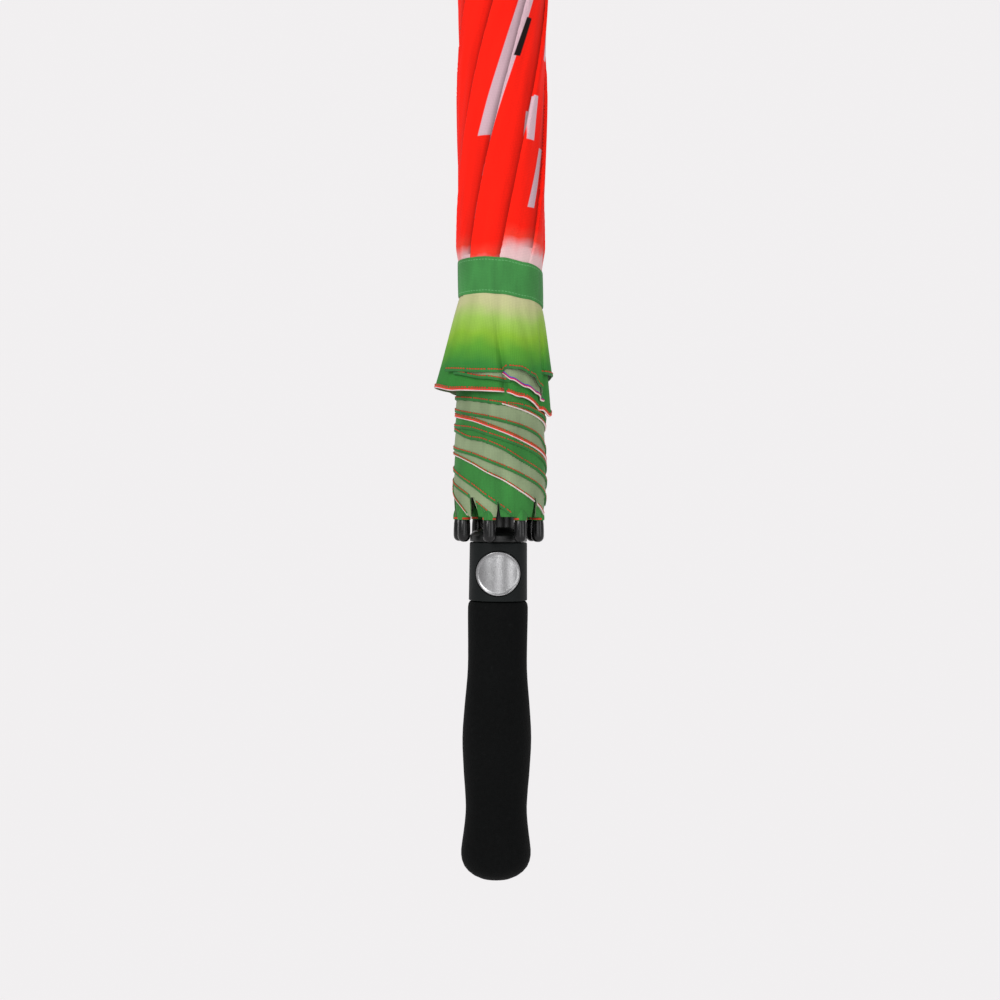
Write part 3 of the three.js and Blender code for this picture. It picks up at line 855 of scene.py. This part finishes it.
# Sheets that flare out under the strap, from the inside out. Each has (angle, height) pairs for
# its hem, (angle, radius) pairs there, the face that shows, its edge, and a lift at the top.
SKIRT_TOP = 329.0
STRAP_HALF = 10.0
STRAP_LINE = [
    (-180, 333.2), (-90, 335), (-25, 335), (0, 334.2), (35, 332.2), (90, 329.5), (130, 331),
    (180, 333.2),
]
SKIRTS = [
    {"hem": [(-171, 270), (-90, 274.5), (-50, 271.5), (6, 270.5), (25, 268), (62, 261.5), (80, 258.5),
             (100, 261), (140, 267), (190, 270)],
     "radius": [(-171, 32), (-130, 34.5), (-90, 36.3), (-60, 33), (-25, 29), (6, 27.3), (25, 27),
                (62, 27.3), (90, 28.6), (120, 29.5), (190, 32)],
     "face": "print", "edge": "striped", "lift": 0.0},
    {"hem": [(-53, 280.6), (-17, 277.5), (12, 276)], "radius": [(-53, 32.3), (-17, 29.4), (12, 27.6)],
     "face": "sage", "edge": "bound", "lift": 0.16},
    {"hem": [(3, 280.5), (13, 277), (30, 273.2), (47, 270), (62, 266.5)],
     "radius": [(3, 28.2), (13, 28.9), (30, 29), (47, 28.8), (62, 28.4)],
     "face": "sage", "edge": "printed", "lift": 0.2},
    {"hem": [(50, 281.5), (90, 281.0), (118, 279.5)], "radius": [(50, 28.4), (70, 29.2), (90, 29.4),
             (118, 30)],
     "face": "print", "edge": "bound", "lift": 0.3},
    {"hem": [(-61, 282.3), (-20, 281), (2, 281), (7, 283.2), (20, 282.8), (38, 279), (50, 273.8),
             (60, 268)],
     "radius": [(-61, 33.9), (-35, 31.8), (-10, 29.6), (4, 28.9), (14, 30.4), (30, 31.2), (48, 30.6),
                (60, 29.6)],
     "face": "print", "edge": "bound", "lift": 0.45},
]
SKIRT_BULGE = [(-171, 1.0), (-90, 0.95), (-30, 0.9), (20, 0.8), (60, 0.66), (110, 0.75), (190, 1.0)]

# Each pleat: its angle at PLEAT_TOP, its drift in degrees for each mm down, its width and its depth.
PLEAT_TOP = 322
PLEATS = [
    (-9, 0.32, 3.8, 3.4), (57, 0.02, 3.5, 1.6), (-40, -0.3, 6.0, 0.9), (22, 0.5, 6.0, 0.8),
    (128, 0.1, 5, 1.2), (-125, 0.1, 6, 1.4), (165, 0.0, 6, 1.2),
]


def strap_middle(azimuth):
    """Height of the strap's centre line, which is drawn round at a slant, high on the left."""
    return smooth_between(unrolled(azimuth + 9.4) - 9.4, STRAP_LINE)


def skirt_hem(sheet, azimuth):
    return smooth_between(azimuth, sheet["hem"])


def skirt_radius(sheet, azimuth, z):
    """Radius of one flared sheet; pleats run down it as narrow valleys."""
    hem = skirt_hem(sheet, azimuth)
    top = strap_middle(azimuth) - STRAP_HALF + 1
    share = min(max((top - z) / (top - hem), 0), 1.05)
    start = 22.6 + sheet["lift"]
    flare = smooth_between(azimuth, sheet["radius"]) - start
    radius = start + flare * share ** between(azimuth, SKIRT_BULGE)
    for angle, drift, width, depth in PLEATS:
        middle = angle + (PLEAT_TOP - z) * drift
        radius -= depth * share * math.exp(-((azimuth - middle) / width) ** 2)
    return radius + 0.35 * share * math.sin(math.radians(8 * azimuth + 30) + z / 13)


# ------------------------------------------------------------------ furled cloth: building
SLOTS = [
    "print", "inner", "green", "sage", "hem_green", "hem_pale", "hem_red", "hem_magenta", "hem_blue",
    "stitch",
]
AZ_STEPS = 20
FLAP = 16.5  # degrees that each right half runs on under its neighbour, to narrow the slit when open
FLAP_DEPTH = 0.8


class HalfGore:
    """The cloth that goes with one side of one rib: every layer, hem and stitch of it."""

    def __init__(self, number, side):
        self.side = side
        middle = rib_azimuth(number) + side * HALF_GORE / 2
        self.rib = unrolled(middle) - side * HALF_GORE / 2
        self.points = []
        self.weights = []
        self.map = []
        self.faces = []
        self.slots = []

    def add_point(self, azimuth, radius, z, print_z=None):
        self.points.append(spot(azimuth, radius, z))
        self.weights.append(min(1.0, max(0.0, self.side * (azimuth - self.rib) / HALF_GORE)))
        across = azimuth - between(z, TWIST) if z > UPPER_LOW else azimuth
        self.map.append((across * ARC * MM, (z if print_z is None else print_z) * MM))
        return len(self.points) - 1

    def add_face(self, loop, slot):
        self.faces.append(tuple(loop) if self.side > 0 else tuple(reversed(loop)))
        self.slots.append(SLOTS.index(slot))

    def add_shell(self, columns, inner_slot="inner"):
        """columns: for each angle, (radius, height, slot of the cell above, print height) going up."""
        outer = []
        inner = []
        for azimuth, column in columns:
            outer.append([self.add_point(azimuth, r, z, v) for r, z, _, v in column])
            inner.append([self.add_point(azimuth, r - CLOTH_THICK, z, v) for r, z, _, v in column])
        last = len(columns) - 1
        top = len(columns[0][1]) - 1
        for i in range(last):
            for j in range(top):
                slot = columns[i][1][j][2]
                self.add_face((outer[i][j], outer[i + 1][j], outer[i + 1][j + 1], outer[i][j + 1]), slot)
                back = (inner[i][j], inner[i][j + 1], inner[i + 1][j + 1], inner[i + 1][j])
                self.add_face(back, inner_slot)
            self.add_face((outer[i][0], inner[i][0], inner[i + 1][0], outer[i + 1][0]), inner_slot)
            self.add_face((outer[i][top], outer[i + 1][top], inner[i + 1][top], inner[i][top]), inner_slot)
        for j in range(top):
            self.add_face((outer[0][j], outer[0][j + 1], inner[0][j + 1], inner[0][j]), inner_slot)
            side = (outer[last][j], inner[last][j], inner[last][j + 1], outer[last][j + 1])
            self.add_face(side, inner_slot)

    def angles_with_flap(self):
        """Angles across the half gore and, on a right half, on under the next one."""
        found = self.angles()
        if self.side > 0:
            edge = found[-1]
            found += [edge + 0.4, edge + 0.8, edge + FLAP / 2, edge + FLAP]
        return found

    def tuck(self, azimuth):
        """How far a point lies under the next half gore."""
        return FLAP_DEPTH * ease((self.side * (azimuth - self.rib) - HALF_GORE) / 0.8)

    def angles(self, low=SEAM, high=SEAM + 360):
        """Angles from the rib outwards across this half gore, kept between low and high."""
        found = [self.rib + self.side * HALF_GORE * i / AZ_STEPS for i in range(AZ_STEPS + 1)]
        kept = [a for a in found if low - 0.01 <= a <= high + 0.01]
        for limit in (low, high):
            inside = self.side * (limit - self.rib)
            if 0.05 < inside < HALF_GORE - 0.05 and all(abs(a - limit) > 0.2 for a in kept):
                kept.append(limit)
        return sorted(kept, key=lambda a: self.side * a)

    def add_edge(self, angles, height_of, radius_of, edge):
        """The strip along a hem, in the colours of its kind, with its run of stitches."""
        if len(angles) < 2:
            return
        section = EDGES[edge]
        rows = []
        for a in angles:
            low = height_of(a)
            high = low + section[-1][0]
            row = [self.add_point(a, radius_of(a, low) - 0.1, low - 0.05)]
            for rise, lift, _ in section:
                row.append(self.add_point(a, radius_of(a, low + rise) + lift, low + rise))
            row.append(self.add_point(a, radius_of(a, high) - 0.1, high + 0.05))
            rows.append(row)
        slots = [section[0][2]] + [slot for _, _, slot in section] + [section[-1][2]]
        size = len(rows[0])
        for one, two in zip(rows, rows[1:]):
            for j in range(size):
                k = (j + 1) % size
                self.add_face((one[j], two[j], two[k], one[k]), slots[j])
        self.add_face(rows[0], section[0][2])
        self.add_face(rows[-1][::-1], section[0][2])
        rise = STITCH_RISE[edge]
        if rise:
            self.add_stitches(angles, lambda a: height_of(a) + rise, lambda a, z: radius_of(a, z) + 0.42)

    def add_stitches(self, angles, height_of, radius_of, pitch=3.0, share=0.88):
        """Short raised threads end to end; the pitch is in degrees."""
        low, high = min(angles[0], angles[-1]), max(angles[0], angles[-1])
        for s in range(int((high - low) / pitch)):
            start = low + (s + 0.1) * pitch
            loops = []
            for t, size in ((0.0, 0.3), (0.3, 1.0), (0.7, 1.0), (1.0, 0.3)):
                a = start + pitch * share * t
                z = height_of(a)
                r = radius_of(a, z)
                loops.append([
                    self.add_point(a, r + 0.3 * size, z), self.add_point(a, r, z + 0.42 * size),
                    self.add_point(a, r - 0.2, z), self.add_point(a, r, z - 0.42 * size),
                ])
            for one, two in zip(loops, loops[1:]):
                for j in range(4):
                    k = (j + 1) % 4
                    self.faces.append((one[j], one[k], two[k], two[j]))
                    self.slots.append(SLOTS.index("stitch"))
            self.faces.append(tuple(loops[0][::-1]))
            self.faces.append(tuple(loops[-1]))
            self.slots += [SLOTS.index("stitch")] * 2

    def build(self, name):
        piece = make_object(name, self.points, self.faces, SLOTS, self.slots)
        set_map(piece, self.map)
        piece.data.set_sharp_from_angle(angle=math.radians(50))
        return piece


def lower_columns(piece):
    step = 0.7
    even = [GAP_TOP + step * j for j in range(1, int((LOWER_TOP - GAP_TOP) / step) + 1)]
    columns = []
    for a in piece.angles_with_flap():
        low = cloth_end(a)
        under = piece.tuck(a)
        heights = [low + (GAP_TOP - low) * j / 20 for j in range(21)] + even
        column = [(lower_radius(a, z) - under, z, lower_face(a, z + step / 2), z) for z in heights]
        columns.append((a, column))
    return columns


def skirt_columns(piece, sheet):
    rows = 28
    columns = []
    for a in piece.angles(sheet["hem"][0][0], sheet["hem"][-1][0]):
        hem = skirt_hem(sheet, a)
        heights = [hem + (SKIRT_TOP - hem) * j / rows for j in range(rows + 1)]
        drawn = 2.2 * math.sin(math.radians(2.6 * a + 20))
        columns.append((a, [(skirt_radius(sheet, a, z), z, sheet["face"], z + drawn) for z in heights]))
    return columns


def upper_columns(piece):
    rows = 260
    columns = []
    for a in piece.angles_with_flap():
        under = piece.tuck(a)
        column = []
        for j in range(rows + 1):
            z = UPPER_LOW + (UPPER_TOP - UPPER_LOW) * (j / rows) ** 1.35
            column.append((upper_radius(a, z) - under, z, "print", z + print_shift(roll_place(a, z)[0], z)))
        columns.append((a, column))
    return columns


def runs_of(angles, wanted):
    """Splits a row of angles into the unbroken runs that meet a condition."""
    runs = [[]]
    for a in angles:
        if wanted(a):
            runs[-1].append(a)
        elif runs[-1]:
            runs.append([])
    return [run for run in runs if len(run) > 1]


def build_half_gore(number, side):
    piece = HalfGore(number, side)
    piece.add_shell(lower_columns(piece))
    piece.add_shell(upper_columns(piece))
    for sheet in SKIRTS:
        columns = skirt_columns(piece, sheet)
        if len(columns) > 1:
            piece.add_shell(columns)
            piece.add_edge(
                [a for a, _ in columns], functools.partial(skirt_hem, sheet),
                functools.partial(skirt_radius, sheet), sheet["edge"])
    for index, (points, _, edge) in enumerate(HEMS):
        fine = piece.angles(points[0][0], points[-1][0])
        for run in runs_of(fine, lambda a: (hem_height(index, a) or 0) > cloth_end(a) + 0.3):
            piece.add_edge(run, functools.partial(hem_height, index), lower_radius, edge)
    label = "left" if side < 0 else "right"
    result = piece.build(f"gore_{number}_{label}")
    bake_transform(result)
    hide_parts(f"panel_{number}_{label}")
    return result


gores = {(number, side): build_half_gore(number, side) for number in range(1, RIBS + 1) for side in (-1, 1)}


# ------------------------------------------------------------------ pockets and crown
def build_pocket(number):
    """A sewn sleeve over a rib's lower end, open below, with a red bar-tack at its mouth."""
    middle = rib_azimuth(number)
    radius = rib_radius(208) + 0.2
    around = 28
    heights = [
        (200.9, 3.5), (201.2, 3.7), (202.2, 3.75), (203.4, 3.7), (205, 3.3), (207, 2.6), (208.5, 2.0),
    ]
    points = []
    slots = []
    faces = []
    uv = []
    for wall in (0.0, -0.3):
        for z, reach in heights:
            for i in range(around):
                t = 2 * math.pi * i / around
                across = math.sin(t) * (reach + wall) * 1.08
                out = math.cos(t) * (reach + wall)
                crease = 0.12 * math.sin(5 * t + number) * (z - 200.9) / 8
                points.append(spot(middle + across / ARC, radius + out + crease, z))
                uv.append(((middle * ARC + reach * t) * MM, z * MM))
    rows = len(heights)

    def at(layer, j, i):
        return (layer * rows + j) * around + i % around

    for i in range(around):
        for j in range(rows - 1):
            faces.append((at(0, j, i), at(0, j, i + 1), at(0, j + 1, i + 1), at(0, j + 1, i)))
            faces.append((at(1, j, i), at(1, j + 1, i), at(1, j + 1, i + 1), at(1, j, i + 1)))
            tack = j == 1 and abs(math.sin(2 * math.pi * (i + 0.5) / around)) > 0.55
            slots += [2 if tack else 0, 1]
        faces.append((at(0, 0, i), at(1, 0, i), at(1, 0, i + 1), at(0, 0, i + 1)))
        faces.append((at(0, rows - 1, i), at(0, rows - 1, i + 1), at(1, rows - 1, i + 1), at(1, rows - 1, i)))
        slots += [0, 0]
    piece = make_object(f"pocket_{number}", points, faces, ("green", "inner", "stitch"), slots)
    set_map(piece, uv)
    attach(piece, f"rib_{number}_arm")
    return piece


CROWN_RADIUS = 14.5  # mm, the patch's skirt
CROWN_TOP = 944.0


def build_crown():
    """A round patch that covers the gores' upper ends, gathered under the washer."""
    outline = [
        (7.3, 943.9), (12.4, 943.7), (13.6, 942.6), (14.6, 939), (15.1, 935.5), (14.75, 935.4),
        (14.2, 939), (13.2, 942.3), (12.2, 943.4), (7.3, 943.6), (7.3, 943.9),
    ]
    piece = lathe("crown_patch", outline[::-1], "print", 128)
    spots = [vertex.co.copy() for vertex in piece.data.vertices]
    set_map(piece, [(math.atan2(x, -y) * CROWN_RADIUS * MM, z) for x, y, z in spots])
    for vertex in piece.data.vertices:
        x, y, z = vertex.co
        turn = math.atan2(x, -y)
        gather = 1 + 0.02 * math.sin(16 * turn) * min(1, max(0, (CROWN_TOP * MM - z) / 0.006))
        vertex.co.x *= gather
        vertex.co.y *= gather
    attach(piece, ROOT)
    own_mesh(piece)
    return piece


pockets = {number: build_pocket(number) for number in range(1, RIBS + 1)}
crown = build_crown()


# ------------------------------------------------------------------ strap
STRAP_RADIUS = 23.35


def build_strap():
    """The woven tape drawn round the cloth, with a line of stitches near each edge."""
    around = 240
    # share of the half width, lift, and 1 where the next strip is a line of stitches
    section = [
        (-1.0, 0.0, 0), (-1.0, 0.25, 0), (-0.95, 0.45, 0), (-0.86, 0.5, 1), (-0.82, 0.5, 0),
        (-0.3, 0.56, 0), (0.3, 0.56, 0), (0.82, 0.5, 1), (0.86, 0.5, 0), (0.95, 0.45, 0),
        (1.0, 0.25, 0), (1.0, 0.0, 0),
    ]
    points = []
    faces = []
    slots = []
    uv = []
    for i in range(around):
        a = -180 + 360 * i / around
        for share, lift, _ in section:
            z = strap_middle(a) + share * STRAP_HALF
            ripple = 0.1 * math.sin(math.radians(4 * a + 30))
            base = STRAP_RADIUS + ripple - 0.25 * math.sin(math.radians(a)) * share
            points.append(spot(a, base + lift, z))
            uv.append((a * ARC * MM, z * MM))
    size = len(section)
    for i in range(around):
        j = (i + 1) % around
        for s in range(size):
            t = (s + 1) % size
            faces.append((i * size + s, j * size + s, j * size + t, i * size + t))
            slots.append(1 if section[s][2] and i % 3 else 0)
    piece = make_object("strap_band", points, faces, ("strap", "strap_stitch"), slots)
    set_map(piece, uv)
    piece.data.set_sharp_from_angle(angle=math.radians(45))
    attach(piece, "rib_1_arm")
    a = math.radians(rib_azimuth(1))
    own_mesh(piece)
    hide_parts("strap")
    return piece


build_strap()

# ------------------------------------------------------------------ backdrop and light
def build_backdrop():
    """A pale floor that curves up into a wall."""
    floor, bend_start, bend = -0.32, 1.4, 1.2
    profile = [(-4.0, floor), (bend_start, floor)]
    for degrees in range(10, 91, 10):
        t = math.radians(degrees)
        profile.append((bend_start + bend * math.sin(t), floor + bend * (1 - math.cos(t))))
    profile.append((2.6, 5.0))
    points = [(x, y, z) for y, z in profile for x in (-6.0, 6.0)]
    faces = [(2 * i, 2 * i + 1, 2 * i + 3, 2 * i + 2) for i in range(len(profile) - 1)]
    mesh = bpy.data.meshes.new("backdrop")
    mesh.from_pydata(points, [], faces)
    mesh.polygons.foreach_set("use_smooth", [True] * len(faces))
    material, _, _, shader = new_material("paper")
    shader.inputs["Base Color"].default_value = (0.02, 0.02, 0.02, 1)
    shader.inputs["Roughness"].default_value = 1.0
    shader.inputs["Specular IOR Level"].default_value = 0.0
    shader.inputs["Emission Color"].default_value = (*linear(240, 238, 239), 1)
    shader.inputs["Emission Strength"].default_value = 0.995
    mesh.materials.append(material)
    piece = bpy.data.objects.new("backdrop", mesh)
    scene.collection.objects.link(piece)


build_backdrop()


def area_light(name, position, target, size, power):
    data = bpy.data.lights.new(name, "AREA")
    data.shape = "RECTANGLE"
    data.size, data.size_y = size
    data.energy = power
    light = bpy.data.objects.new(name, data)
    scene.collection.objects.link(light)
    light.location = position
    light.rotation_euler = (Vector(target) - Vector(position)).to_track_quat("-Z", "Y").to_euler()


area_light("key", (-1.3, -1.7, 1.2), (0, 0, 0.25), (1.1, 1.4), 34)
area_light("fill", (1.8, -1.3, 0.6), (0, 0, 0.3), (1.0, 1.6), 13)
area_light("front", (0.2, -2.6, 0.5), (0, 0, 0.3), (1.2, 1.6), 14)

world = bpy.data.worlds.new("studio")
world.use_nodes = True
world.node_tree.nodes["Background"].inputs["Color"].default_value = (0.93, 0.94, 0.95, 1)
world.node_tree.nodes["Background"].inputs["Strength"].default_value = 0.4
scene.world = world
scene.view_settings.view_transform = "Standard"
